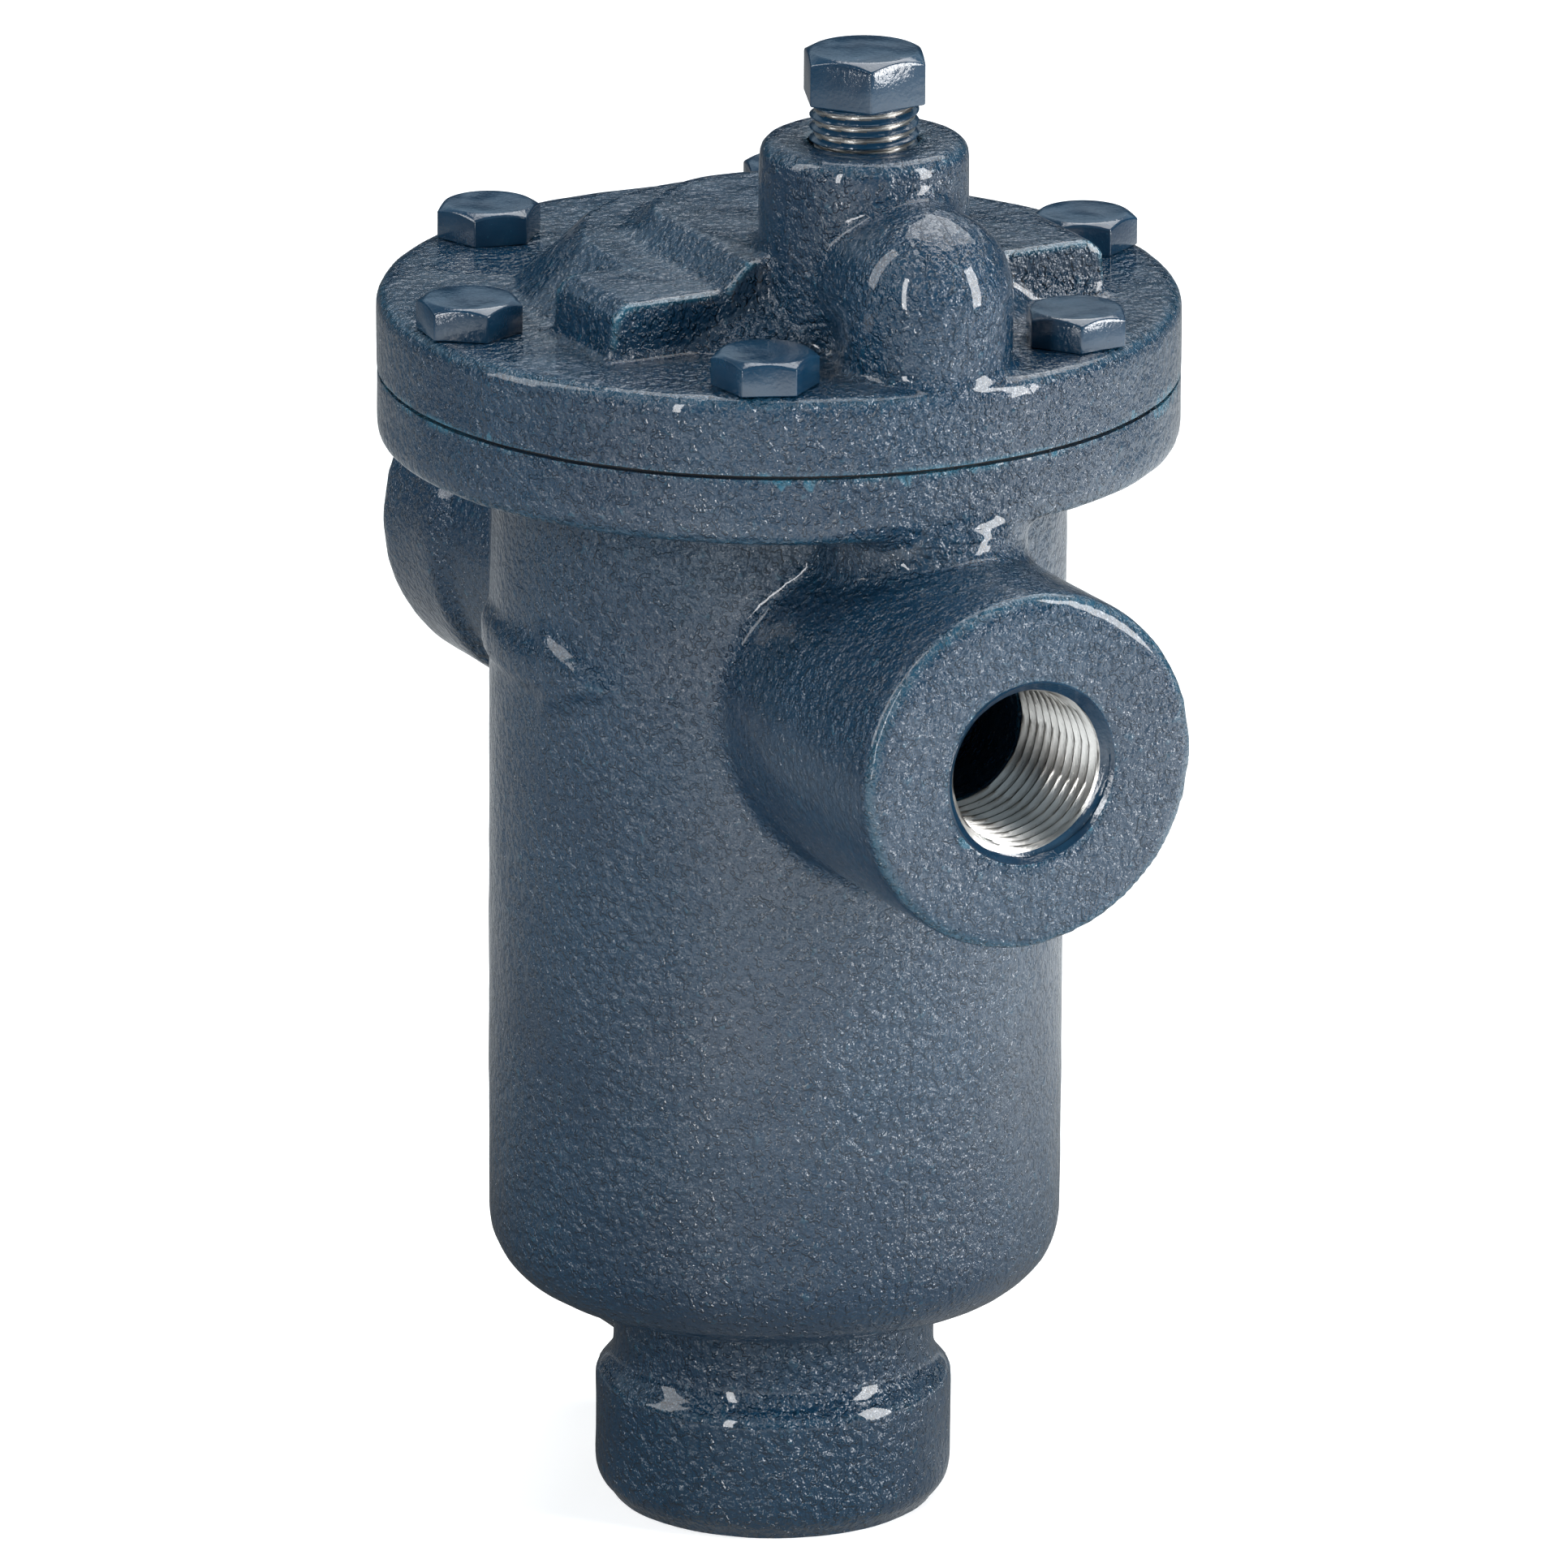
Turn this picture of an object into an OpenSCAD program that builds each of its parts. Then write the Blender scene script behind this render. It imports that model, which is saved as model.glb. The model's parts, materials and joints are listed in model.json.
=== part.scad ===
// Inverted-bucket steam trap with side inlet and side outlet.
// Millimetres, +Z up, origin at the middle of the strainer boss's lower face.
// +X is the outlet side and -X is the inlet side.

/* [Vessel] */
// Outside radius of the vessel
vessel_r = 34.3; // [28:0.1:42]
// Wall of the vessel
vessel_wall = 5.3; // [4:0.1:6.4]
// Height of the vessel's underside
vessel_bottom = 27.5; // [23:0.5:33]
// Thickness of the vessel's floor
floor_t = 5; // [4:0.1:8]
// Rounding round the vessel's underside
vessel_corner_r = 8.5; // [5:0.5:11]
// Height of the body's joint face
joint_h = 140.6; // [130:0.1:170]

/* [Flanges] */
// How far the flanges stand out of the vessel's wall
flange_overhang = 13.325; // [12:0.1:16]
// Thickness of the body's flange
body_flange_t = 8.3; // [7:0.1:10]
// Thickness of the cap's flange
cap_flange_t = 9.2; // [7.7:0.1:11]
// Thickness of the gasket
gasket_t = 0.5; // [0.4:0.1:1.5]
// How far the gasket's edge lies inside the flanges' edge
gasket_inset = 1; // [0.5:0.1:2]
// Rounding of the flanges' outer edges
flange_edge_r = 1.6; // [0.8:0.1:2.5]

/* [Cap screws] */
// Number of cap screws
screw_count = 6; // [6]
// Distance from the screws' circle to the flanges' edge
screw_edge = 6.625; // [6:0.1:7.5]
// Thread radius of a cap screw
screw_r = 3.175; // [2.6:0.1:3.6]
// Width across the flats of a cap screw's head
screw_af = 11.1; // [9:0.1:12]
// Height of a cap screw's head
screw_head_h = 4; // [3:0.1:5]
// Clearance round a cap screw in the cap
screw_clearance = 0.35; // [0.2:0.05:0.6]

/* [Ports] */
// How far a port's face stands out of the vessel's wall
port_reach = 29.2; // [26:0.1:36]
// Height of the ports' axis
port_h = 107.95; // [95:0.05:112]
// Outside radius of the outlet boss
outlet_boss_r = 21.5; // [18:0.1:22]
// Outside radius of the inlet boss's collar
inlet_boss_r = 21.4; // [20.2:0.1:22]
// Length of the inlet boss's collar
inlet_collar_l = 13.7; // [8:0.1:15]
// Outside radius of the inlet boss behind its collar
inlet_neck_r = 20; // [16:0.1:20.2]
// Rounding of the bosses' rims
boss_edge_r = 1.3; // [0.8:0.1:2.5]
// Wall radius of the port threads at their crests
port_r = 9.3; // [8:0.1:11]
// Depth of the port threads
port_depth = 20; // [15:0.5:24]
// Radius of the countersink at a port's mouth
port_mouth_r = 10.7; // [10:0.1:12.5]

/* [Passages] */
// Radius of the cored passages beside the vessel
passage_r = 4.5; // [3.5:0.1:5.2]
// Radius of the inlet channel down the back
channel_r = 5.5; // [4.5:0.1:6.2]
// How much narrower than its thread the core behind a port is
core_step = 0.3; // [0.1:0.1:1]
// Iron left between a passage and the vessel's bore
passage_wall = 3.1; // [2.5:0.1:4]
// Iron outside the inlet channel
channel_wall = 4; // [2.5:0.1:4.2]
// Height of the channel's run under the vessel
channel_h = 18.6; // [18:0.1:20.5]
// Half width of the neck block between the outlet boss and the flange
neck_half_w = 12.2; // [10:0.1:13.5]

/* [Strainer boss] */
// Outside radius of the strainer boss
base_r = 21.4; // [20:0.1:24]
// Height of the strainer boss
base_h = 15.2; // [13:0.1:17]
// Rounding of the strainer boss's lower edge
base_edge_r = 3.7; // [2:0.1:4]
// Radius of the neck above the boss
base_neck_r = 19.3; // [18.5:0.1:20]
// Radius of the strainer chamber
chamber_r = 12.4; // [11:0.1:13]
// Thread radius of the strainer plug
strainer_plug_r = 13.3; // [12.6:0.1:13.8]
// Top of the strainer plug
strainer_plug_top = 11.5; // [10.5:0.1:12.5]
// Radius of the strainer plug's flange
strainer_flange_r = 15.2; // [14.6:0.1:16]
// Thickness of the strainer plug's flange
strainer_flange_t = 2.6; // [2:0.1:3]
// Radius of the screen
screen_r = 9; // [7.5:0.1:10.5]
// Thickness of the screen
screen_t = 0.6; // [0.4:0.1:0.8]
// Thread radius of the blowdown plug
blowdown_r = 6.6; // [5:0.1:7]

/* [Cap] */
// Radius of the hump's foot
hump_r = 31; // [28:0.5:33]
// Radius of the hump's shelf
shelf_r = 23.5; // [20:0.5:25]
// Height of the shelf above the cap's flat
shelf_h = 7.2; // [5.5:0.1:9]
// Half width of the raised deck
deck_half_w = 16.5; // [14:0.1:18]
// How far the deck's sides lean in on each side of that width
deck_lean = 1.5; // [0.5:0.1:2]
// Height of the deck above the shelf
deck_h = 3; // [2:0.1:4]
// Outside radius of the test-plug boss
plug_boss_r = 12.3; // [11.2:0.1:14]
// Height of the test-plug boss above the cap's flat
plug_boss_h = 23.5; // [22:0.1:29]
// Radius of the outlet elbow
elbow_r = 10.2; // [9.6:0.1:11]
// Height of the elbow's top above the cap's flat
elbow_h = 18.8; // [14.5:0.1:19.5]
// Half width of a lug
lug_half_w = 7.75; // [6:0.05:9]
// Height of a lug above the cap's flat
lug_h = 7; // [5.5:0.1:9]
// Gap between a lug's end and the screws' circle
lug_gap = 8; // [7:0.1:10]

/* [Test plug] */
// Thread radius of the test plug
plug_r = 6.4; // [5.5:0.1:7.4]
// Width across the flats of the test plug's head
plug_af = 13.5; // [13:0.1:17]
// Height of the test plug's head
plug_head_h = 5.9; // [5:0.1:8]
// Thread left showing under the head
plug_standout = 4.8; // [2:0.1:6]
// Thread inside the boss
plug_grip = 8; // [6:0.1:9]

/* [Seat and valve] */
// Thread radius of the valve seat
seat_r = 5.4; // [4.5:0.1:6]
// Width across the flats of the seat's hex
seat_af = 11; // [9.5:0.1:11.5]
// Thickness of the seat's hex
seat_hex_t = 1.7; // [1.2:0.1:2.2]
// Length of the seat's thread
seat_l = 7; // [5:0.1:8]
// Radius of the orifice
orifice_r = 1.6; // [1:0.1:2.2]
// Radius of the valve's ball
ball_r = 3; // [2.4:0.1:3.6]
// Gap left between the ball and the seat when it closes
seating_gap = 0.08; // [0.05:0.01:0.2]

/* [Lever] */
// Distance from the lever's pivot to the valve
lever_short = 4.5; // [3.8:0.1:5.5]
// Travel of the lever in degrees
lever_travel = 10; // [7:0.5:12]
// Thickness of the lever's sheet
lever_t = 1.6; // [1.2:0.1:2]
// Half width of the lever at its pivot
lever_half_w = 4.6; // [4:0.1:5]
// Half width of the lever's hook
hook_half_w = 3; // [2:0.1:3.2]
// Radius of the guide pins
pin_r = 1; // [0.8:0.05:1.2]
// Radial clearance of a running fit
running_fit = 0.05; // [0.02:0.01:0.1]
// Radial clearance of a screwed or pushed fit
thread_fit = 0.02; // [0.01:0.01:0.1]

/* [Guide plate] */
// Thickness of the guide plate
plate_t = 1.2; // [1:0.1:1.6]
// Distance from the middle to each guide screw
guide_y = 20; // [18:0.1:20.5]
// Distance from the valve seat back to the guide screws
guide_back = 8.25; // [7:0.05:9]
// Thread radius of a guide screw
guide_screw_r = 2.4; // [2:0.1:2.6]
// Distance from the middle to each guide pin's leg
pin_leg_y = 8.2; // [7.8:0.1:8.8]
// Thickness of a lock washer
washer_t = 0.6; // [0.5:0.1:1]

/* [Bucket] */
// Gap between the bucket and the vessel's bore
bucket_gap = 5; // [4:0.1:8]
// Thickness of the bucket's wall
bucket_t = 0.8; // [0.6:0.1:1.2]
// Rounding of the bucket's top edge
bucket_corner_r = 4; // [2:0.1:6]
// Height of the bucket's rim above the floor at rest
rim_h = 4; // [3:0.1:6]
// Radius of the vent hole
vent_r = 1; // [0.5:0.1:2]
// Distance from the axis to the vent hole
vent_x = 16; // [14:0.5:18]
// Height of the hook above the bucket's top
clip_h = 11; // [9:0.1:14]
// Radius of the bar that hangs on the hook
bar_r = 1.2; // [1:0.1:1.4]
// Half width of the clip's strap
clip_half_w = 3; // [2:0.1:3.5]
// Thickness of the clip's strap
clip_t = 1.2; // [0.8:0.1:1.6]
// Distance from the middle to each rivet
rivet_y = 11; // [9:0.1:14]
// Radius of a rivet's shank
rivet_r = 1.3; // [1:0.1:1.8]

/* [Inlet tube] */
// Outside radius of the inlet tube
tube_r = 5.2; // [4.5:0.1:6.2]
// Wall of the inlet tube
tube_wall = 1; // [0.7:0.1:1.4]
// Gap between the tube's end and the bucket's top when the bucket hangs lowest
tube_gap = 16; // [12:0.5:30]

/* [Hidden] */
$fn = 96;

// Overlap that joins two solids of one casting, and overshoot of a cut
eps = 0.5;
// Corner radius of a hexagon over half its width across the flats
hex_corner = 1 / cos(30);

// Vessel and flanges
vessel_bore_r = vessel_r - vessel_wall;
face_to_face = 2 * (vessel_r + port_reach);
flange_r = vessel_r + flange_overhang;
screw_circle_r = flange_r - screw_edge;
floor_top = vessel_bottom + floor_t;
flange_under = joint_h - body_flange_t;
cap_under = joint_h + gasket_t;
cap_top = cap_under + cap_flange_t;
screw_end_gap = 0.5;
screw_l = cap_flange_t + gasket_t + body_flange_t - screw_end_gap;
first_screw_angle = 30;
screw_pitch_angle = 360 / screw_count;
// One turn of each screw's head, as it was left by the wrench
screw_turns = [7, 31, 12, 48, 23, 37];
plug_turn = 38;

// Passages
leg_x = vessel_bore_r + passage_wall + passage_r;
channel_x = vessel_bore_r + channel_wall + channel_r;
channel_out_r = channel_r + channel_wall;
core_r = port_r - core_step;

// Strainer
roof_t = 6;
roof_under = floor_top - roof_t;
plug_tip_gap = 1;
strainer_flange_gap = 0.25;
strainer_gasket_t = 0.8;
strainer_recess = 1;
strainer_seat_h = strainer_recess + strainer_flange_t + strainer_gasket_t;
wrench_af = 19;
wrench_depth = 3.4;

// Cap: the seat stands under the test-plug boss, the pivot is outboard of it
pivot_edge = 3.5;
pivot_x = vessel_bore_r - pivot_edge;
seat_x = pivot_x - lever_short;
lug_x = seat_x - guide_back;
lug_end = screw_circle_r - lug_gap;
shelf_top = cap_top + shelf_h;
deck_top = shelf_top + deck_h;
plug_boss_top = cap_top + plug_boss_h;
elbow_axis_h = cap_top + elbow_h - elbow_r;
plug_boss_edge_r = 1.8;
lug_chamfer = [2.4, 1];
lug_draft = 0.6;
cavity_inset = 0.6;
cavity_wall_h = 5.2;
cavity_over_flange = 2;
cavity_r = vessel_bore_r - cavity_inset;
cavity_top_r = 19;
cavity_step_h = cap_under + cavity_wall_h;
cavity_top = cap_top + cavity_over_flange;
pad_depth = 4.6;
pad_under = cap_under + pad_depth;
pad_r = 9.2;
guide_pad_rim = 0.4;
guide_hole_depth = 7;

// Mechanism
seat_bridge = 1;
seat_wall = 2;
seat_edge_h = pad_under - seat_hex_t;
seat_drop = sqrt(ball_r * ball_r - orifice_r * orifice_r);
ball_closed_h = seat_edge_h - seat_drop - seating_gap;
pivot_drop = 5.7;
pivot_h = pad_under - pivot_drop;
// The ball's place at rest is its closed place turned back about the pivot
closed_dz = ball_closed_h - pivot_h;
ball_x = pivot_x - lever_short * cos(lever_travel) - closed_dz * sin(lever_travel);
ball_h = pivot_h - lever_short * sin(lever_travel) + closed_dz * cos(lever_travel);
pin_cover = 0.4;
lever_top = pivot_h - pin_r - pin_cover;
lever_under = lever_top - lever_t;
ear_r = 2.1;
ear_t = 1.4;
stem_r = 1;
stem_below = 0.9;
stem_above = 0.5;
plunger_share = 0.85;
retainer_r = 2.5;
retainer_t = 0.8;
waist_back = 7;
waist_l = 3;
hook_drop = 3.1;
hook_h = lever_under - hook_drop;
hook_in_r = bar_r + running_fit;
hook_out_r = hook_in_r + lever_t;
plate_under = pad_under - plate_t;
guide_head_h = 1.6;
guide_head_r = 3.8;
washer_r = 4;
plate_end_r = 4.2;
plate_arm_r = 1.5;
plate_waist = 1;
plate_hole_gap = 0.2;
seat_room = 0.3;
pin_reach = 0.1;
guide_screw_depth = 6;

// Bucket
bucket_r = vessel_bore_r - bucket_gap;
bucket_top = hook_h - clip_h;
bucket_rim = floor_top + rim_h;
hook_side_gap = 0.9;
clip_in_y = hook_half_w + hook_side_gap;
foot_past_rivet = 3.2;
rivet_head_h = 0.9;
rivet_head_share = 1.8;
rivet_crown_share = 0.6;
tube_top = bucket_top - bucket_t - tube_gap;

cast_blue = [0.13, 0.26, 0.38];
bright_steel = [0.72, 0.73, 0.74];
dull_steel = [0.55, 0.56, 0.57];
graphite = [0.17, 0.17, 0.18];

// Points of an arc in the r-z plane
function arc(cr, cz, r, a0, a1, n = 8) =
    [for (i = [0:n]) let (a = a0 + (a1 - a0) * i / n) [cr + r * cos(a), cz + r * sin(a)]];

// A disc with a rounded upper or lower outer edge
module disc_low_round(r, h, e) {
    rotate_extrude()
        polygon(concat([[0, 0]], arc(r - e, e, e, -90, 0), [[r, h], [0, h]]));
}

module disc_high_round(r, h, e) {
    translate([0, 0, h])
        mirror([0, 0, 1])
            disc_low_round(r, h, e);
}

// A hexagonal bar, with its upper corners cut back by a chamfer
module hex_head(af, h) {
    corner_r = af / 2 * hex_corner;
    chamfer_foot = 0.72 * h;
    face_r = 0.93 * af / 2;
    intersection() {
        cylinder(r = corner_r, h = h, $fn = 6);
        rotate_extrude()
            polygon([[0, -eps], [corner_r + eps, -eps], [corner_r + eps, chamfer_foot],
                     [face_r, h], [0, h]]);
    }
}

// A straight round bar along +X
module x_bar(r, length) {
    rotate([0, 90, 0])
        cylinder(r = r, h = length);
}

// A boss along +X from the axis, with a rounded rim at its far end
module x_boss(r, length) {
    rotate([0, 90, 0])
        disc_high_round(r, length, boss_edge_r);
}

// A port along +X: countersink, thread wall and the core behind it, as far in as core_end
module port_cut(core_end) {
    half = face_to_face / 2;
    lead = port_mouth_r - port_r;
    rotate([0, 90, 0]) {
        translate([0, 0, half - port_depth])
            cylinder(r = port_r, h = port_depth + eps);
        translate([0, 0, half - lead])
            cylinder(r1 = port_r, r2 = port_mouth_r, h = lead + eps / 50);
        translate([0, 0, half])
            cylinder(r = port_mouth_r, h = eps);
        translate([0, 0, core_end])
            cylinder(r = core_r, h = half - port_depth - core_end + eps);
    }
}

// The raised arrow that shows which way the condensate flows
module flow_arrow() {
    shaft_half = 2.1;
    head_half = 4.6;
    tail_x = -15;
    neck_x = 6;
    tip_x = 16;
    barb = 1;
    rise = 1;
    relief = 1;
    intersection() {
        translate([0, 0, port_h + rise])
            rotate([90, 0, 0])
                linear_extrude(height = flange_r)
                    polygon([[tail_x, -shaft_half], [neck_x, -shaft_half], [neck_x - barb, -head_half],
                             [tip_x, 0], [neck_x - barb, head_half], [neck_x, shaft_half],
                             [tail_x, shaft_half]]);
        cylinder(r = vessel_r + relief, h = joint_h);
    }
}

module body_outside() {
    translate([0, 0, vessel_bottom])
        disc_low_round(vessel_r, joint_h - vessel_bottom - eps, vessel_corner_r);
    translate([0, 0, flange_under])
        disc_low_round(flange_r, body_flange_t, flange_edge_r);
    flow_arrow();
    // Strainer boss, its shoulder and its neck
    disc_low_round(base_r, base_h, base_edge_r);
    translate([0, 0, base_h])
        cylinder(r1 = base_r, r2 = base_neck_r, h = base_r - base_neck_r);
    cylinder(r = base_neck_r, h = vessel_bottom + eps);
    // Outlet boss and the neck block that joins it to the flange
    translate([0, 0, port_h])
        x_boss(outlet_boss_r, face_to_face / 2);
    translate([leg_x, 0, port_h])
        cylinder(r = neck_half_w, h = flange_under - port_h + eps);
    translate([vessel_bore_r, -neck_half_w, port_h])
        cube([leg_x - vessel_bore_r, 2 * neck_half_w, flange_under - port_h + eps]);
    // Inlet boss: collar, shoulder and neck
    collar_x = face_to_face / 2 - inlet_collar_l;
    shoulder_l = 2 * (inlet_boss_r - inlet_neck_r);
    translate([0, 0, port_h])
        mirror([1, 0, 0]) {
            x_bar(inlet_neck_r, collar_x);
            translate([collar_x, 0, 0])
                x_boss(inlet_boss_r, inlet_collar_l);
            translate([collar_x - shoulder_l, 0, 0])
                rotate([0, 90, 0])
                    cylinder(r1 = inlet_neck_r, r2 = inlet_boss_r, h = shoulder_l);
        }
    // Inlet channel, down the back and in under the vessel
    translate([-channel_x, 0, channel_h]) {
        cylinder(r = channel_out_r, h = port_h - channel_h);
        sphere(r = channel_out_r);
        x_bar(channel_out_r, channel_x);
    }
}

module body_inside() {
    translate([0, 0, floor_top])
        cylinder(r = vessel_bore_r, h = joint_h - floor_top + eps);
    // Strainer chamber, its thread and the gasket's counterbore
    cylinder(r = chamber_r, h = roof_under);
    translate([0, 0, -eps])
        cylinder(r = strainer_plug_r + thread_fit, h = strainer_plug_top + plug_tip_gap + eps);
    translate([0, 0, -eps])
        cylinder(r = strainer_flange_r + strainer_flange_gap, h = strainer_seat_h + eps);
    translate([0, 0, roof_under - eps])
        cylinder(r = tube_r + thread_fit, h = floor_top - roof_under + 2 * eps);
    // Inlet: port, channel and the way into the chamber
    translate([0, 0, port_h])
        mirror([1, 0, 0])
            port_cut(channel_x - channel_r);
    translate([-channel_x, 0, channel_h]) {
        cylinder(r = channel_r, h = port_h - channel_h);
        sphere(r = channel_r);
        x_bar(channel_r, channel_x - chamber_r / 2);
    }
    // Outlet: the passage that comes down from the cap, and the port
    translate([0, 0, port_h])
        port_cut(leg_x - passage_r);
    translate([leg_x, 0, port_h])
        cylinder(r = passage_r, h = joint_h - port_h + eps);
    // Tapped holes for the cap screws
    for (i = [0:screw_count - 1])
        rotate([0, 0, first_screw_angle + screw_pitch_angle * i])
            translate([screw_circle_r, 0, flange_under - eps])
                cylinder(r = screw_r + thread_fit, h = body_flange_t + 2 * eps);
}

module body() {
    color(cast_blue)
        difference() {
            body_outside();
            body_inside();
        }
}

// The cap's outlet elbow: out of the boss, round a domed corner and down to the flange
module cap_elbow(r) {
    translate([seat_x, 0, elbow_axis_h])
        x_bar(r, leg_x - seat_x);
    translate([leg_x, 0, elbow_axis_h])
        sphere(r = r);
    translate([leg_x, 0, cap_under])
        cylinder(r = r, h = elbow_axis_h - cap_under);
}

module cap_lugs() {
    for (side = [-1, 1])
        translate([lug_x, 0, cap_top - eps])
            rotate([0, 0, side * 90])
                translate([0, -lug_half_w, 0])
                    intersection() {
                        cube([lug_end, 2 * lug_half_w, lug_h + eps]);
                        rotate([90, 0, 0])
                            translate([0, 0, -2 * lug_half_w])
                                linear_extrude(height = 2 * lug_half_w)
                                    polygon([[0, 0], [lug_end, 0],
                                             [lug_end - lug_draft, lug_h - lug_chamfer[1]],
                                             [lug_end - lug_chamfer[0], lug_h + eps],
                                             [0, lug_h + eps]]);
                    }
}

module cap_outside() {
    translate([0, 0, cap_under])
        disc_high_round(flange_r, cap_flange_t, flange_edge_r);
    translate([0, 0, cap_top - eps])
        cylinder(r1 = hump_r + eps, r2 = shelf_r, h = shelf_h + eps);
    // The deck: round at the inlet side, straight towards the test-plug boss
    foot_w = deck_half_w + deck_lean;
    top_w = deck_half_w - deck_lean;
    translate([0, 0, shelf_top - eps])
        cylinder(r1 = foot_w, r2 = top_w, h = deck_h + eps);
    translate([0, 0, shelf_top])
        rotate([90, 0, 90])
            linear_extrude(height = seat_x)
                polygon([[-foot_w, -shelf_h], [foot_w, -shelf_h], [foot_w, 0], [top_w, deck_h],
                         [-top_w, deck_h], [-foot_w, 0]]);
    cap_lugs();
    translate([seat_x, 0, cap_top - eps])
        disc_high_round(plug_boss_r, plug_boss_h + eps, plug_boss_edge_r);
    cap_elbow(elbow_r);
}

module cap_inside() {
    // Cavity over the mechanism, less the pads for the seat and the guide screws
    difference() {
        union() {
            translate([0, 0, cap_under - eps])
                cylinder(r = cavity_r, h = cavity_step_h - cap_under + eps);
            translate([0, 0, cavity_step_h])
                cylinder(r1 = cavity_r, r2 = cavity_top_r, h = cavity_top - cavity_step_h);
        }
        translate([seat_x, 0, pad_under])
            cylinder(r = pad_r, h = cavity_top - pad_under + eps);
        for (side = [-1, 1])
            translate([lug_x, side * guide_y, pad_under])
                cylinder(r = plate_end_r + guide_pad_rim, h = cavity_top - pad_under + eps);
    }
    // Seat thread, the chamber above it and the test plug's thread
    translate([seat_x, 0, pad_under - eps])
        cylinder(r = seat_r + thread_fit, h = seat_l + eps);
    translate([seat_x, 0, pad_under + seat_l - eps])
        cylinder(r = passage_r, h = plug_boss_top - pad_under - seat_l);
    translate([seat_x, 0, plug_boss_top - plug_grip - plug_tip_gap])
        cylinder(r = plug_r + thread_fit, h = plug_grip + plug_tip_gap + eps);
    // Passage through the elbow
    cap_elbow(passage_r);
    translate([leg_x, 0, cap_under - eps])
        cylinder(r = passage_r, h = 2 * eps);
    // Holes for the guide screws and the cap screws
    for (side = [-1, 1])
        translate([lug_x, side * guide_y, pad_under - eps])
            cylinder(r = guide_screw_r + thread_fit, h = guide_hole_depth + eps);
    for (i = [0:screw_count - 1])
        rotate([0, 0, first_screw_angle + screw_pitch_angle * i])
            translate([screw_circle_r, 0, cap_under - eps])
                cylinder(r = screw_r + screw_clearance, h = cap_flange_t + 2 * eps);
}

module cap() {
    color(cast_blue)
        difference() {
            cap_outside();
            cap_inside();
        }
}

module cap_gasket() {
    color(graphite)
        translate([0, 0, joint_h])
            difference() {
                cylinder(r = flange_r - gasket_inset, h = gasket_t);
                translate([0, 0, -eps])
                    cylinder(r = vessel_bore_r, h = gasket_t + 2 * eps);
                translate([leg_x, 0, -eps])
                    cylinder(r = passage_r, h = gasket_t + 2 * eps);
                for (i = [0:screw_count - 1])
                    rotate([0, 0, first_screw_angle + screw_pitch_angle * i])
                        translate([screw_circle_r, 0, -eps])
                            cylinder(r = screw_r + screw_clearance, h = gasket_t + 2 * eps);
            }
}

module cap_screw() {
    hex_head(screw_af, screw_head_h);
    translate([0, 0, -screw_l])
        cylinder(r = screw_r, h = screw_l + eps);
}

module cap_screws() {
    color(cast_blue)
        for (i = [0:screw_count - 1])
            rotate([0, 0, first_screw_angle + screw_pitch_angle * i])
                translate([screw_circle_r, 0, cap_top])
                    rotate([0, 0, screw_turns[i]])
                        cap_screw();
}

module test_plug() {
    color(cast_blue)
        translate([seat_x, 0, plug_boss_top + plug_standout]) {
            rotate([0, 0, plug_turn])
                hex_head(plug_af, plug_head_h);
            translate([0, 0, -plug_standout - plug_grip])
                cylinder(r = plug_r, h = plug_standout + plug_grip + eps);
        }
}

module valve_seat() {
    color(bright_steel)
        translate([seat_x, 0, seat_edge_h])
            difference() {
                union() {
                    cylinder(r = seat_af / 2 * hex_corner, h = seat_hex_t, $fn = 6);
                    cylinder(r = seat_r, h = seat_hex_t + seat_l - eps);
                }
                translate([0, 0, -eps])
                    cylinder(r = orifice_r, h = seat_hex_t + seat_l + eps);
                translate([0, 0, seat_hex_t + seat_bridge])
                    cylinder(r = seat_r - seat_wall, h = seat_l);
            }
}

module valve() {
    color(bright_steel)
        translate([ball_x, 0, 0]) {
            // The ball's underside is cut flat where the plunger stands on the lever
            intersection() {
                translate([0, 0, ball_h])
                    sphere(r = ball_r);
                translate([0, 0, lever_top])
                    cylinder(r = 2 * ball_r, h = 2 * ball_r);
            }
            translate([0, 0, lever_top])
                cylinder(r = ball_r * plunger_share, h = ball_h - lever_top);
            translate([0, 0, lever_under - stem_below])
                cylinder(r = stem_r, h = stem_below + lever_t + stem_above);
        }
}

module valve_retainer() {
    color(dull_steel)
        translate([ball_x, 0, lever_under - retainer_t])
            difference() {
                cylinder(r = retainer_r, h = retainer_t);
                translate([0, 0, -eps])
                    cylinder(r = stem_r + thread_fit, h = retainer_t + 2 * eps);
            }
}

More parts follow.
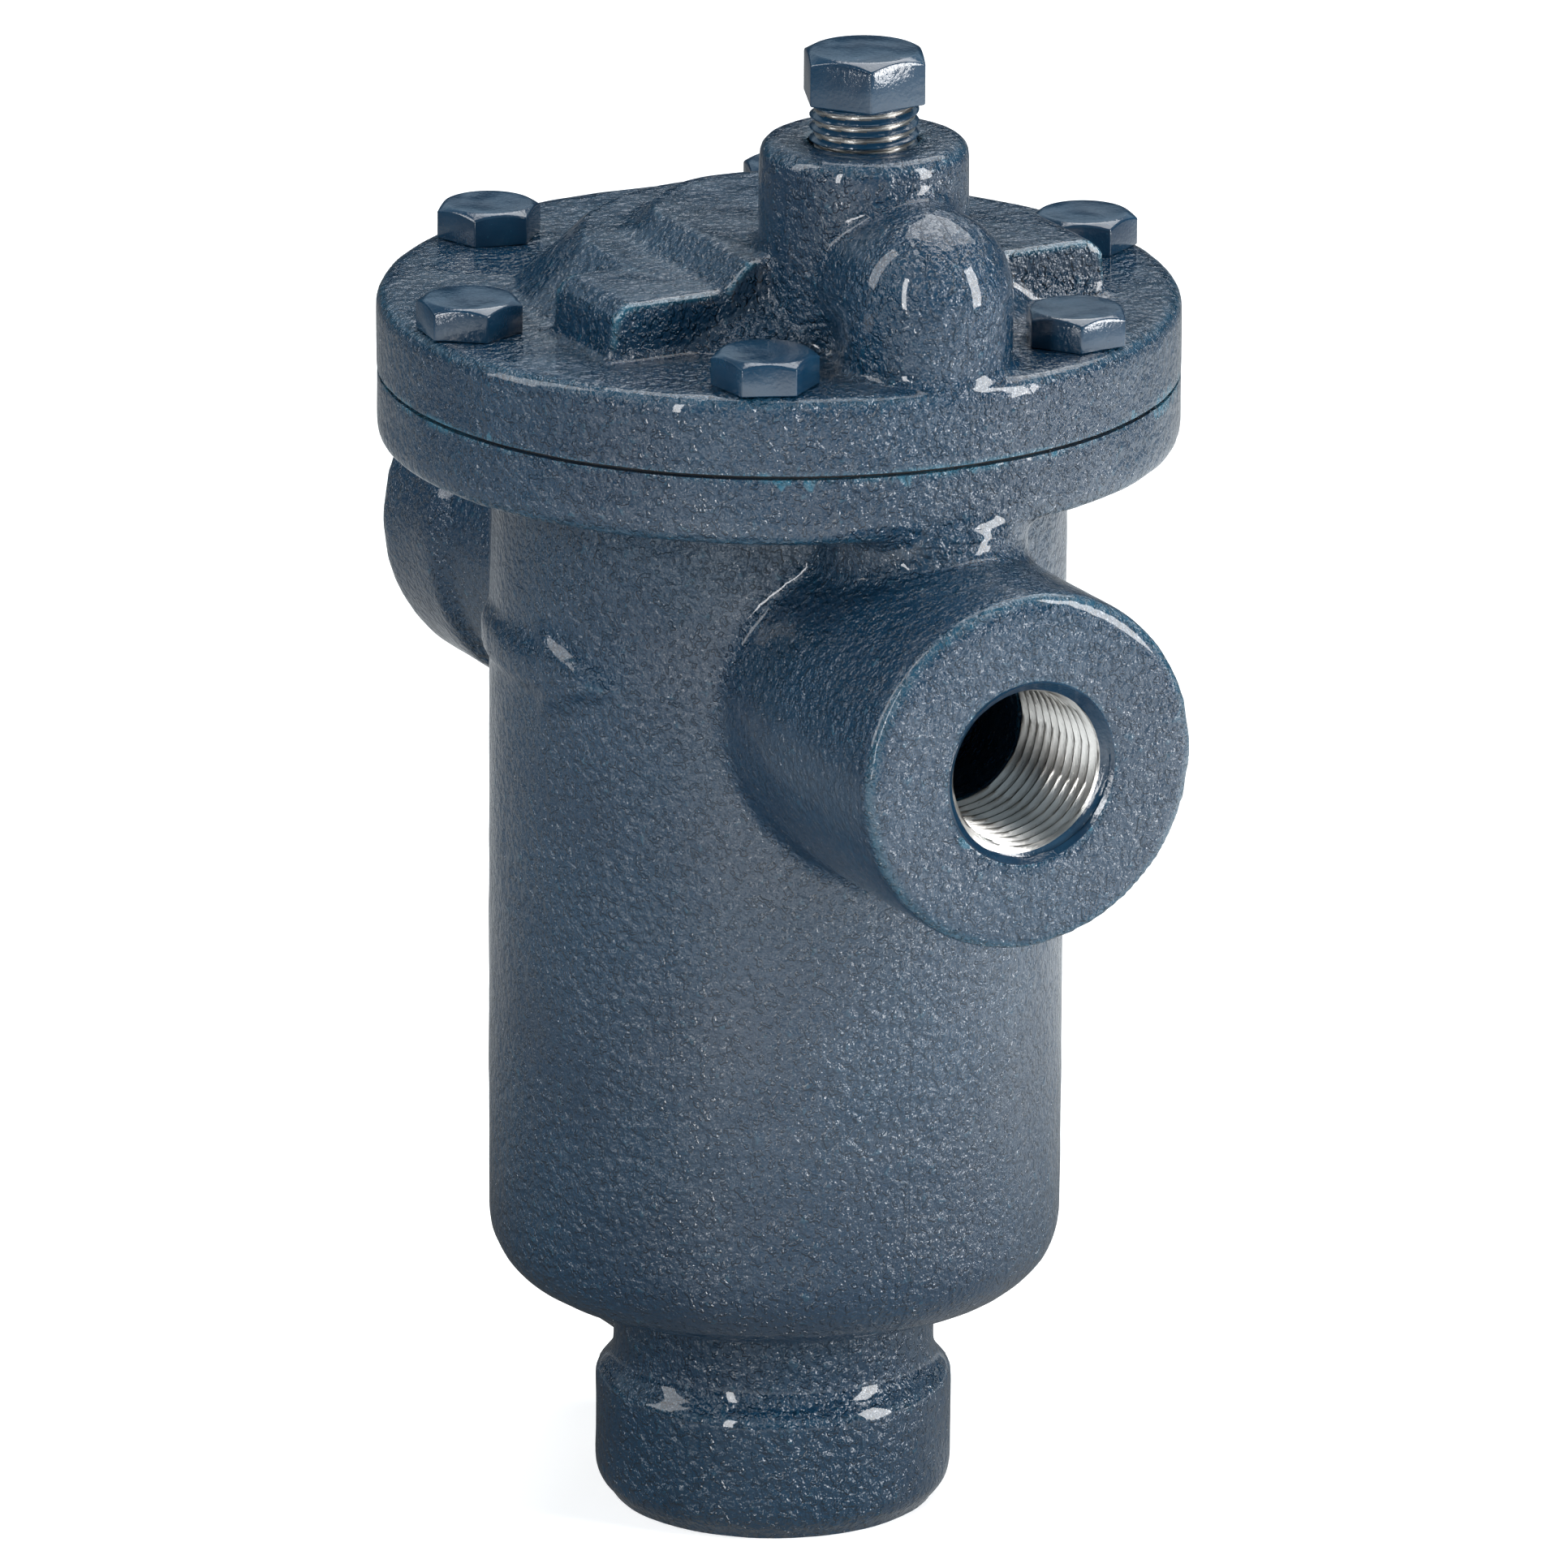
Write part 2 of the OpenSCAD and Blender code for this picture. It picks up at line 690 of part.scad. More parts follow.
// The lever: a sheet with two ears at the pivot and a hook at its far end
module lever() {
    hook_w = 2 * hook_half_w;
    arm_x = hook_in_r;
    tail_x = pivot_x + ear_r;
    waist_x = ball_x - waist_back;
    color(dull_steel)
        difference() {
            union() {
                translate([0, 0, lever_under])
                    linear_extrude(height = lever_t)
                        polygon([[arm_x, -hook_half_w], [waist_x, -hook_half_w],
                                 [waist_x + waist_l, -lever_half_w], [tail_x, -lever_half_w],
                                 [tail_x, lever_half_w], [waist_x + waist_l, lever_half_w],
                                 [waist_x, hook_half_w], [arm_x, hook_half_w]]);
                for (side = [-1, 1])
                    translate([pivot_x, side * (lever_half_w - ear_t / 2), 0])
                        lever_ear();
                // Down to the hook and round under the clip's bar
                translate([arm_x, -hook_half_w, hook_h])
                    cube([lever_t, hook_w, lever_under - hook_h + eps]);
                difference() {
                    translate([0, hook_half_w, hook_h])
                        rotate([90, 0, 0])
                            cylinder(r = hook_out_r, h = hook_w);
                    translate([-hook_out_r - eps, -hook_half_w - eps, hook_h])
                        cube([2 * hook_out_r + 2 * eps, hook_w + 2 * eps, hook_out_r + eps]);
                }
            }
            translate([0, hook_half_w + eps, hook_h])
                rotate([90, 0, 0])
                    cylinder(r = hook_in_r, h = hook_w + 2 * eps);
            translate([pivot_x, lever_half_w + eps, pivot_h])
                rotate([90, 0, 0])
                    cylinder(r = pin_r + running_fit, h = 2 * lever_half_w + 2 * eps);
            translate([ball_x, 0, lever_under - eps])
                cylinder(r = stem_r + thread_fit, h = lever_t + 2 * eps);
        }
}

module lever_ear() {
    rise = pivot_h - lever_under;
    translate([-ear_r, -ear_t / 2, lever_under])
        cube([2 * ear_r, ear_t, rise]);
    translate([0, ear_t / 2, pivot_h])
        rotate([90, 0, 0])
            cylinder(r = ear_r, h = ear_t);
}

module guide_plate() {
    color(dull_steel)
        translate([0, 0, plate_under])
            difference() {
                union() {
                    for (side = [-1, 1]) {
                        translate([lug_x, side * guide_y, 0])
                            cylinder(r = plate_end_r, h = plate_t);
                        translate([lug_x, side * pin_leg_y - plate_arm_r, 0])
                            cube([pivot_x - lug_x, 2 * plate_arm_r, plate_t]);
                        translate([pivot_x, side * pin_leg_y, 0])
                            cylinder(r = plate_arm_r, h = plate_t);
                    }
                    translate([lug_x - plate_end_r + plate_waist, -guide_y, 0])
                        cube([2 * (plate_end_r - plate_waist), 2 * guide_y, plate_t]);
                }
                // Room for the valve seat's hexagon
                translate([seat_x, 0, -eps])
                    cylinder(r = seat_af / 2 * hex_corner + seat_room, h = plate_t + 2 * eps);
                for (side = [-1, 1]) {
                    translate([lug_x, side * guide_y, -eps])
                        cylinder(r = guide_screw_r + plate_hole_gap, h = plate_t + 2 * eps);
                    translate([pivot_x, side * pin_leg_y, -eps])
                        cylinder(r = pin_r + thread_fit, h = plate_t + 2 * eps);
                }
            }
}

// Each pin comes down from the plate and turns in towards the lever's ear
module guide_pins() {
    tip_y = lever_half_w - ear_t + pin_reach;
    color(bright_steel)
        for (side = [-1, 1])
            translate([pivot_x, side * pin_leg_y, pivot_h]) {
                cylinder(r = pin_r, h = pad_under - pivot_h - pin_reach);
                sphere(r = pin_r);
                rotate([side * 90, 0, 0])
                    cylinder(r = pin_r, h = pin_leg_y - tip_y);
            }
}

module guide_screws() {
    color(bright_steel)
        for (side = [-1, 1])
            translate([lug_x, side * guide_y, plate_under - washer_t - guide_head_h]) {
                cylinder(r = guide_head_r * hex_corner, h = guide_head_h, $fn = 6);
                cylinder(r = guide_screw_r,
                         h = guide_head_h + washer_t + plate_t + guide_screw_depth);
            }
}

module guide_washers() {
    color(dull_steel)
        for (side = [-1, 1])
            translate([lug_x, side * guide_y, plate_under - washer_t])
                difference() {
                    cylinder(r = washer_r, h = washer_t);
                    translate([0, 0, -eps])
                        cylinder(r = guide_screw_r + thread_fit, h = washer_t + 2 * eps);
                }
}

module bucket() {
    inner_r = bucket_r - bucket_t;
    inner_corner_r = bucket_corner_r - bucket_t;
    h = bucket_top - bucket_rim;
    color(bright_steel)
        translate([0, 0, bucket_rim])
            difference() {
                disc_high_round(bucket_r, h, bucket_corner_r);
                translate([0, 0, -eps])
                    disc_high_round(inner_r, h - bucket_t + eps, inner_corner_r);
                translate([vent_x, 0, h - bucket_t - eps])
                    cylinder(r = vent_r, h = bucket_t + 2 * eps);
                for (side = [-1, 1])
                    translate([0, side * rivet_y, h - bucket_t - eps])
                        cylinder(r = rivet_r + thread_fit, h = bucket_t + 2 * eps);
            }
}

// A bent strap: two feet on the bucket, two legs and the bar between them
module bucket_clip() {
    bar_y = clip_in_y + clip_t;
    foot_end = rivet_y + foot_past_rivet;
    color(dull_steel) {
        for (side = [-1, 1])
            mirror([0, side < 0 ? 1 : 0, 0]) {
                difference() {
                    translate([-clip_half_w, clip_in_y, bucket_top])
                        cube([2 * clip_half_w, foot_end - clip_in_y, clip_t]);
                    translate([0, rivet_y, bucket_top - eps])
                        cylinder(r = rivet_r + thread_fit, h = clip_t + 2 * eps);
                }
                translate([-clip_half_w, clip_in_y, bucket_top])
                    cube([2 * clip_half_w, clip_t, hook_h - bucket_top]);
                translate([0, bar_y, hook_h])
                    rotate([90, 0, 0])
                        cylinder(r = clip_half_w, h = clip_t);
            }
        translate([0, clip_in_y + clip_t / 2, hook_h])
            rotate([90, 0, 0])
                cylinder(r = bar_r, h = 2 * clip_in_y + clip_t);
    }
}

module clip_rivets() {
    head_r = rivet_r * rivet_head_share;
    color(bright_steel)
        for (side = [-1, 1])
            translate([0, side * rivet_y, bucket_top - bucket_t]) {
                translate([0, 0, -rivet_head_h])
                    cylinder(r = head_r, h = rivet_head_h);
                cylinder(r = rivet_r, h = bucket_t + clip_t);
                translate([0, 0, bucket_t + clip_t])
                    cylinder(r1 = head_r, r2 = head_r * rivet_crown_share, h = rivet_head_h);
            }
}

module inlet_tube() {
    color(bright_steel)
        translate([0, 0, roof_under])
            difference() {
                cylinder(r = tube_r, h = tube_top - roof_under);
                translate([0, 0, -eps])
                    cylinder(r = tube_r - tube_wall, h = tube_top - roof_under + 2 * eps);
            }
}

module strainer_screen() {
    rows = 4;
    columns = 12;
    hole_r = 1.1;
    h = roof_under - strainer_plug_top;
    pitch = h / (rows + 1);
    drill_l = 4;
    color(bright_steel)
        translate([0, 0, strainer_plug_top])
            difference() {
                cylinder(r = screen_r, h = h);
                translate([0, 0, -eps])
                    cylinder(r = screen_r - screen_t, h = h + 2 * eps);
                for (row = [1:rows])
                    for (column = [0:columns - 1])
                        rotate([0, 0, (column + 0.5 * (row % 2)) * 360 / columns])
                            translate([screen_r - drill_l / 2, 0, row * pitch])
                                x_bar(hole_r, drill_l);
            }
}

module strainer_plug() {
    color(cast_blue)
        difference() {
            union() {
                translate([0, 0, strainer_recess])
                    cylinder(r = strainer_flange_r, h = strainer_flange_t);
                translate([0, 0, strainer_recess])
                    cylinder(r = strainer_plug_r, h = strainer_plug_top - strainer_recess);
            }
            translate([0, 0, strainer_recess - eps])
                cylinder(r = wrench_af / 2 * hex_corner, h = wrench_depth + eps, $fn = 6);
            translate([0, 0, strainer_recess])
                cylinder(r = blowdown_r + thread_fit, h = strainer_plug_top);
        }
}

module strainer_gasket() {
    color(graphite)
        translate([0, 0, strainer_recess + strainer_flange_t])
            difference() {
                cylinder(r = strainer_flange_r - strainer_flange_gap, h = strainer_gasket_t);
                translate([0, 0, -eps])
                    cylinder(r = strainer_plug_r + thread_fit, h = strainer_gasket_t + 2 * eps);
            }
}

module blowdown_plug() {
    socket_af = 6.35;
    socket_depth = 5;
    standout = 1.5;
    face_h = strainer_recess + wrench_depth - standout;
    color(bright_steel)
        difference() {
            translate([0, 0, face_h])
                cylinder(r = blowdown_r, h = strainer_plug_top - face_h);
            translate([0, 0, face_h - eps])
                cylinder(r = socket_af / 2 * hex_corner, h = socket_depth + eps, $fn = 6);
        }
}

body();
cap();
cap_gasket();
cap_screws();
test_plug();
valve_seat();
valve();
valve_retainer();
lever();
guide_plate();
guide_pins();
guide_screws();
guide_washers();
bucket();
bucket_clip();
clip_rivets();
inlet_tube();
strainer_screen();
strainer_plug();
strainer_gasket();
blowdown_plug();
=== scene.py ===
# %% [markdown]
# # An inverted-bucket steam trap
#
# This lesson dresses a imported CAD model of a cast-iron steam trap. The castings, the painted fasteners
# and the bare threads are made here. The CAD model gives every size and place, so the frame is loaded
# first, and each later step asks it where things are. All lengths are in metres.

# %% Load the frame
import bpy
import json
import math
from mathutils import Matrix, Vector


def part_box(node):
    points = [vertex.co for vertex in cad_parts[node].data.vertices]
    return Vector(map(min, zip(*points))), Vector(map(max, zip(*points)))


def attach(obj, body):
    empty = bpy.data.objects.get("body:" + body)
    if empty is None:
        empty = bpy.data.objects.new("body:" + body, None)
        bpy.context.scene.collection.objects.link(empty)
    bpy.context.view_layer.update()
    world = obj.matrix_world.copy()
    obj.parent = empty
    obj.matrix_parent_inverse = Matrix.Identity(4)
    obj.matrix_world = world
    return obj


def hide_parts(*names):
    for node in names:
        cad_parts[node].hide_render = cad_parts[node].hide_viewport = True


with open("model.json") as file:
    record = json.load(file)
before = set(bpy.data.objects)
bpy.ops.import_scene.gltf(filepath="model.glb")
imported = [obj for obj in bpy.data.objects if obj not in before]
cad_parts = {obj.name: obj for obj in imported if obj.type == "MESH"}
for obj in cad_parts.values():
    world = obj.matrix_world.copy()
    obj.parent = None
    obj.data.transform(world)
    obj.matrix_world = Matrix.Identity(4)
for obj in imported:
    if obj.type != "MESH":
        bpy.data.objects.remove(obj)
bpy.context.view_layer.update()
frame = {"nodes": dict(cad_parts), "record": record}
MM = 0.001

# %% [markdown]
# ## Where things are
#
# The trap's axis is the Z axis, and the pipe runs along X. The heights of the joint faces, the radius of
# the flanges and the middle of the test-plug boss are read off the boxes of the CAD nodes. Only sizes
# that no box shows are written out, such as the radius of the circle of cap screws.

# %% Read the driving places
body_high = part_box("body")[1]
cap_low, cap_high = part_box("cap")
screws_low, screws_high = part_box("cap_screws")
plug_low, plug_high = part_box("test_plug")

joint_z = body_high[2]
cap_under_z = cap_low[2]
flange_r = cap_high[1]
port_x = body_high[0]
SCREW_HEAD_H = 4 * MM
SCREW_EDGE = 6.625 * MM
port_z = next(m for m in frame["record"]["mounts"] if m["name"] == "outlet")["pos_m"][2]
plug_x = (plug_low[0] + plug_high[0]) / 2
screw_head_top_z = screws_high[2]
cap_top_z = screw_head_top_z - SCREW_HEAD_H
screw_circle_r = flange_r - SCREW_EDGE
print("joint", joint_z, "cap top", cap_top_z, "ports", port_z, "plug", plug_x)

# %% [markdown]
# ## Camera, floor and light
#
# The camera comes first, because every later choice is judged through it. A long lens two metres away
# keeps the verticals straight. The stage is a wide pale floor. The light is four soft boxes under a pale
# band of sky: glossy paint shows mostly what it reflects, so the boxes' size and place draw the
# highlights.

# %% Place the camera
VIEW_AZIMUTH = math.radians(62.17)
VIEW_ELEVATION = math.radians(17.7)
VIEW_DISTANCE = 2.0554
VIEW_ROLL = math.radians(0.33)
SENSOR = 36.0
aim = Vector((0.0004, 0.0008, 0.0886))

toward_camera = Vector((
    math.sin(VIEW_AZIMUTH) * math.cos(VIEW_ELEVATION),
    -math.cos(VIEW_AZIMUTH) * math.cos(VIEW_ELEVATION),
    math.sin(VIEW_ELEVATION)))
camera_data = bpy.data.cameras.new("camera")
camera = bpy.data.objects.new("camera", camera_data)
bpy.context.scene.collection.objects.link(camera)
camera_data.sensor_width = SENSOR
camera_data.lens = 395.8
camera.location = aim + toward_camera * VIEW_DISTANCE
turn = toward_camera.to_track_quat("Z", "Y")
camera.rotation_euler = (turn.to_matrix() @ Matrix.Rotation(VIEW_ROLL, 3, "Z")).to_euler()
bpy.context.scene.camera = camera
print("the camera stands at", tuple(round(c, 3) for c in camera.location))

# %% [markdown]
# ## A floor that is white to the eye and grey to the paint
#
# Glossy paint on an upright wall mirrors the floor around it, so a white floor would wash every side
# out. A photographer lays grey and black cards just outside the picture. The floor does the same here.
# It is white where it is looked at. For the light that bounces off it, it is bright on the right and
# dark on the left and behind, and brightest in a ring a third of a metre out. That draws the shading
# across the vessel.

# %% Lay the floor
FLOOR_SIZE = 14
SEEN_GREY = 0.60
SEEN_GLOW = 0.62
BOUNCED_GLOW = 2.45
BRIGHT_ANGLE = VIEW_AZIMUTH + math.radians(42)
# Each stop is a place and a grey. RINGS goes outwards in metres, SIDES from the dark side to the bright one
RINGS = ((0.00, 0.12), (0.12, 0.30), (0.22, 1.00), (0.38, 1.00), (0.52, 0.50), (1.00, 0.25))
SIDES = ((0.00, 0.16), (0.30, 0.34), (0.58, 0.55), (0.74, 1.00), (1.00, 1.00))
SIDES_TINT = (0.92, 0.97, 1.0)
WHITE = (1, 1, 1, 1)


def grey_ramp(node_tree, stops, tint):
    """A colour ramp whose greys are tinted."""
    ramp = node_tree.nodes.new("ShaderNodeValToRGB")
    elements = ramp.color_ramp.elements
    while len(elements) < len(stops):
        elements.new(0.5)
    for stop, (position, grey) in zip(elements, stops):
        stop.position = position
        stop.color = (*(grey * share for share in tint), 1)
    return ramp


bpy.ops.object.select_all(action="DESELECT")
bpy.ops.mesh.primitive_plane_add(size=FLOOR_SIZE, location=(0, 0, 0))
floor = bpy.context.object
floor.name = "floor"

floor_paint = bpy.data.materials.new("floor_paint")
floor_paint.use_nodes = True
tree = floor_paint.node_tree
seen = tree.nodes["Principled BSDF"]
seen.inputs["Base Color"].default_value = (SEEN_GREY, SEEN_GREY, SEEN_GREY, 1)
seen.inputs["Roughness"].default_value = 0.9
seen.inputs["Specular IOR Level"].default_value = 0.0
seen.inputs["Emission Color"].default_value = WHITE
seen.inputs["Emission Strength"].default_value = SEEN_GLOW
bounced = tree.nodes.new("ShaderNodeEmission")
bounced.inputs["Strength"].default_value = BOUNCED_GLOW
ray = tree.nodes.new("ShaderNodeLightPath")
choice = tree.nodes.new("ShaderNodeMixShader")
place = tree.nodes.new("ShaderNodeTexCoord")
outwards = tree.nodes.new("ShaderNodeVectorMath")
outwards.operation = "NORMALIZE"
to_bright_side = tree.nodes.new("ShaderNodeVectorMath")
to_bright_side.operation = "DOT_PRODUCT"
to_bright_side.inputs[1].default_value = (math.sin(BRIGHT_ANGLE), -math.cos(BRIGHT_ANGLE), 0)
half_turn = tree.nodes.new("ShaderNodeMapRange")
half_turn.inputs["From Min"].default_value = -1.0
half_turn.inputs["From Max"].default_value = 1.0
sides = grey_ramp(tree, SIDES, SIDES_TINT)
from_trap = tree.nodes.new("ShaderNodeVectorMath")
from_trap.operation = "LENGTH"
rings = grey_ramp(tree, RINGS, WHITE[:3])
bounce_colour = tree.nodes.new("ShaderNodeMix")
bounce_colour.data_type = "RGBA"
bounce_colour.blend_type = "MULTIPLY"
bounce_colour.inputs[0].default_value = 1.0
for source, target in (
        (place.outputs["Object"], from_trap.inputs[0]),
        (from_trap.outputs["Value"], rings.inputs["Fac"]),
        (sides.outputs["Color"], bounce_colour.inputs[6]),
        (rings.outputs["Color"], bounce_colour.inputs[7]),
        (bounce_colour.outputs[2], bounced.inputs["Color"]),
        (place.outputs["Object"], outwards.inputs[0]),
        (outwards.outputs["Vector"], to_bright_side.inputs[0]),
        (to_bright_side.outputs["Value"], half_turn.inputs["Value"]),
        (half_turn.outputs["Result"], sides.inputs["Fac"]),
        (ray.outputs["Is Camera Ray"], choice.inputs[0]),
        (bounced.outputs["Emission"], choice.inputs[1]),
        (seen.outputs["BSDF"], choice.inputs[2]),
        (choice.outputs["Shader"], tree.nodes["Material Output"].inputs["Surface"])):
    tree.links.new(source, target)
floor.data.materials.append(floor_paint)
print("laid a floor whose bright side lies", round(math.degrees(BRIGHT_ANGLE)), "degrees round")

# %% Hang the lights
world = bpy.data.worlds.new("studio")
bpy.context.scene.world = world
world.use_nodes = True
# The sky's greys by the height of the direction, from the horizon up to overhead
SKY = ((0.00, 0.04), (0.22, 0.06), (0.34, 1.00), (0.50, 0.60), (1.00, 0.15))
SKY_TINT = (0.70, 0.87, 1.0)
SKY_STRENGTH = 0.75
sky_tree = world.node_tree
direction = sky_tree.nodes.new("ShaderNodeTexCoord")
height = sky_tree.nodes.new("ShaderNodeSeparateXYZ")
sky = grey_ramp(sky_tree, SKY, SKY_TINT)
sky_tree.links.new(direction.outputs["Generated"], height.inputs["Vector"])
sky_tree.links.new(height.outputs["Z"], sky.inputs["Fac"])
sky_tree.links.new(sky.outputs["Color"], sky_tree.nodes["Background"].inputs["Color"])
sky_tree.nodes["Background"].inputs["Strength"].default_value = SKY_STRENGTH
bpy.context.scene.view_settings.view_transform = "Standard"


def softbox(name, side_angle, rise, distance, width, height, watts):
    """A soft box on a stand, in degrees to the right of the camera and above the floor."""
    angle = VIEW_AZIMUTH + math.radians(side_angle)
    up = math.radians(rise)
    away = Vector((math.sin(angle) * math.cos(up), -math.cos(angle) * math.cos(up), math.sin(up)))
    light = bpy.data.lights.new(name, "AREA")
    light.shape = "RECTANGLE"
    light.size = width
    light.size_y = height
    light.energy = watts
    lamp = bpy.data.objects.new(name, light)
    bpy.context.scene.collection.objects.link(lamp)
    lamp.location = Vector((0, 0, 0.1)) + away * distance
    lamp.rotation_euler = away.to_track_quat("Z", "Y").to_euler()
    return lamp


softbox("left_box", -80, 34, 1.1, 0.3, 1.0, 6)
softbox("front_strip", -28, 14, 1.4, 0.14, 0.9, 9)
softbox("right_box", 70, 16, 1.2, 0.30, 0.9, 18)
softbox("top_box", 150, 66, 1.3, 1.2, 1.2, 20)
print("four soft boxes hang round the stage")

# %% [markdown]
# ## Helpers for modelling
#
# An operator acts on everything that is selected, and loading the frame leaves the CAD nodes selected.
# So every helper starts from an empty selection. `finish_piece` gives a mesh its place in its own
# points, lets it ride on a body, and gives it the material it is handed if it has none yet.

# %% Selection, modifiers and finishing
def only(piece):
    """Make piece the one selected and active object."""
    if bpy.context.object and bpy.context.object.mode != "OBJECT":
        bpy.ops.object.mode_set(mode="OBJECT")
    bpy.ops.object.select_all(action="DESELECT")
    piece.select_set(True)
    bpy.context.view_layer.objects.active = piece
    return piece


def clear():
    """Leave nothing selected, ready for a new primitive."""
    if bpy.context.object and bpy.context.object.mode != "OBJECT":
        bpy.ops.object.mode_set(mode="OBJECT")
    bpy.ops.object.select_all(action="DESELECT")


def settle(piece):
    """Move the object's place, turn and scale into its mesh."""
    only(piece)
    bpy.ops.object.transform_apply(location=True, rotation=True, scale=True)
    return piece


def modify(piece, kind, **settings):
    """Add one modifier and apply it."""
    only(piece)
    modifier = piece.modifiers.new(kind.lower(), kind)
    for key, value in settings.items():
        setattr(modifier, key, value)
    bpy.ops.object.modifier_apply(modifier=modifier.name)
    return piece


def cut(piece, cutter):
    """Take cutter's shape out of piece, and remove the cutter."""
    modify(piece, "BOOLEAN", operation="DIFFERENCE", object=cutter, solver="EXACT")
    bpy.data.objects.remove(cutter)
    return piece


def cylinder(name, r, start, end, vertices=96):
    """A closed cylinder from the point start to the point end."""
    clear()
    start, end = Vector(start), Vector(end)
    run = end - start
    bpy.ops.mesh.primitive_cylinder_add(
        vertices=vertices, radius=r, depth=run.length, location=(start + end) / 2,
        rotation=run.to_track_quat("Z", "Y").to_euler())
    piece = bpy.context.object
    piece.name = name
    return settle(piece)


def finish_piece(piece, body, material, smooth_angle=40, replaces=()):
    """Shade a piece, dress it, and let it ride on its body."""
    settle(piece)
    bpy.ops.object.shade_smooth_by_angle(angle=math.radians(smooth_angle))
    if not piece.data.materials:
        piece.data.materials.append(material)
    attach(piece, body)
    if replaces:
        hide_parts(*replaces)
    print(piece.name, "has", len(piece.data.polygons), "faces")
    return piece


# %% [markdown]
# ## Shader maths as plain expressions
#
# A pattern is a sum of small functions of place. `Value` wraps a node's output, so that a sum such as
# `grain + fine * 0.5` adds the Math nodes by itself. Colours stay colours: they are mixed by a Mix node
# and never pass through Math.

# %% The socket wrapper and the node maker
class Value:
    def __init__(self, shader, socket):
        self.shader = shader
        self.socket = socket

    def math(self, operation, *others):
        return self.shader.node("ShaderNodeMath", {"operation": operation}, [self, *others])

    def __add__(self, other):
        return self.math("ADD", other)

    def __mul__(self, other):
        return self.math("MULTIPLY", other)

    __radd__ = __add__
    __rmul__ = __mul__

    def clamp(self):
        return self.shader.node("ShaderNodeClamp", {}, [self])


class Shader:
    """One material: a Principled shader and the nodes that feed it."""

    def __init__(self, name):
        self.material = bpy.data.materials.new(name)
        self.material.use_nodes = True
        self.tree = self.material.node_tree
        self.surface = self.tree.nodes["Principled BSDF"]
        self.place = self.node("ShaderNodeTexCoord", {}, [], "Object")

    def node(self, kind, settings, values, output=0):
        made = self.tree.nodes.new(kind)
        for key, value in settings.items():
            setattr(made, key, value)
        pairs = values.items() if isinstance(values, dict) else enumerate(values)
        for key, value in pairs:
            self.feed(made.inputs[key], value)
        return Value(self, made.outputs[output])

    def feed(self, socket, value):
        if isinstance(value, Value):
            self.tree.links.new(value.socket, socket)
        else:
            socket.default_value = value

    def axis(self, name):
        return self.node("ShaderNodeSeparateXYZ", {}, [self.place], name)

    def stretched(self, scale):
        return self.node("ShaderNodeMapping", {}, {"Vector": self.place, "Scale": scale})

    def noise(self, size, detail=2.0, roughness=0.5, place=None, distortion=0.0):
        """Smooth noise between 0 and 1 whose lumps are about size metres across."""
        return self.node("ShaderNodeTexNoise", {}, {
            "Vector": place or self.place, "Scale": 1 / size, "Detail": detail,
            "Roughness": roughness, "Distortion": distortion})

    def ramp(self, value, low, high):
        """0 below low, 1 above high, and a smooth step between."""
        return self.node("ShaderNodeMapRange", {"interpolation_type": "SMOOTHSTEP"},
                         {"Value": value, "From Min": low, "From Max": high})

    def mix_colour(self, factor, first, second):
        made = self.tree.nodes.new("ShaderNodeMix")
        made.data_type = "RGBA"
        self.feed(made.inputs[0], factor)
        self.feed(made.inputs[6], first)
        self.feed(made.inputs[7], second)
        return Value(self, made.outputs[2])

    def bump(self, height, distance):
        return self.node("ShaderNodeBump", {}, {"Height": height, "Distance": distance, "Strength": 1.0})

    def set(self, **values):
        for key, value in values.items():
            self.feed(self.surface.inputs[key.replace("_", " ")], value)
        return self.material


# %% [markdown]
# ## The enamel
#
# The castings are dipped or sprayed in a thick blue gloss enamel straight over the sand-cast skin. The
# skin's grain shows through as an orange-peel relief about a millimetre across, which breaks every
# highlight into specks. The paint pools a little darker in the hollows of the grain and thins towards a
# lighter blue on the high spots. The parting line of the mould runs round the castings in the plane of
# the pipe.

# %% Enamel over cast iron
DEEP_BLUE = (0.0032, 0.021, 0.047, 1)
MID_BLUE = (0.0056, 0.031, 0.064, 1)
# THIN_BLUE is thin paint on the high spots. On the castings' sharp edges it is also a painted rim
# highlight.
THIN_BLUE = (0.026, 0.135, 0.200, 1)


def cast_enamel():
    paint = Shader("cast_enamel")
    grain = paint.noise(1.25 * MM, detail=2.0, roughness=0.5, distortion=0.2)
    fine = paint.noise(0.5 * MM, detail=2.0)
    grit = paint.ramp(paint.noise(0.9 * MM, detail=1.0), 0.56, 0.68)
    cloud = paint.noise(24 * MM, detail=2.0)
    rough_zone = paint.ramp(cloud, 0.35, 0.60)
    y = paint.axis("Y")
    seam = paint.ramp(y, -0.15 * MM, 0.15 * MM)
    relief = grain * (0.45 + rough_zone * 0.55) + fine * 0.24 + grit * 0.30 + seam * 0.12
    high_spots = paint.ramp(grain, 0.62, 0.78) * 0.22
    # Lighter blue on sharp convex edges: partly paint worn thin there, partly a painted rim highlight that
    # stands in for the light the rims catch
    thin_edge_and_rim_highlight = paint.ramp(paint.node("ShaderNodeNewGeometry", {}, [], "Pointiness"), 0.515, 0.56)
    tone = paint.mix_colour(paint.ramp(cloud, 0.3, 0.7), DEEP_BLUE, MID_BLUE)
    colour = paint.mix_colour((high_spots + thin_edge_and_rim_highlight * 0.55).clamp(), tone, THIN_BLUE)
    return paint.set(
        Base_Color=colour,
        Roughness=0.07 + fine * 0.07,
        Normal=paint.bump(relief, 1.15 * MM),
        Coat_Weight=0.5,
        Coat_Roughness=0.04)


CAST_ENAMEL = cast_enamel()
print("mixed", CAST_ENAMEL.name)

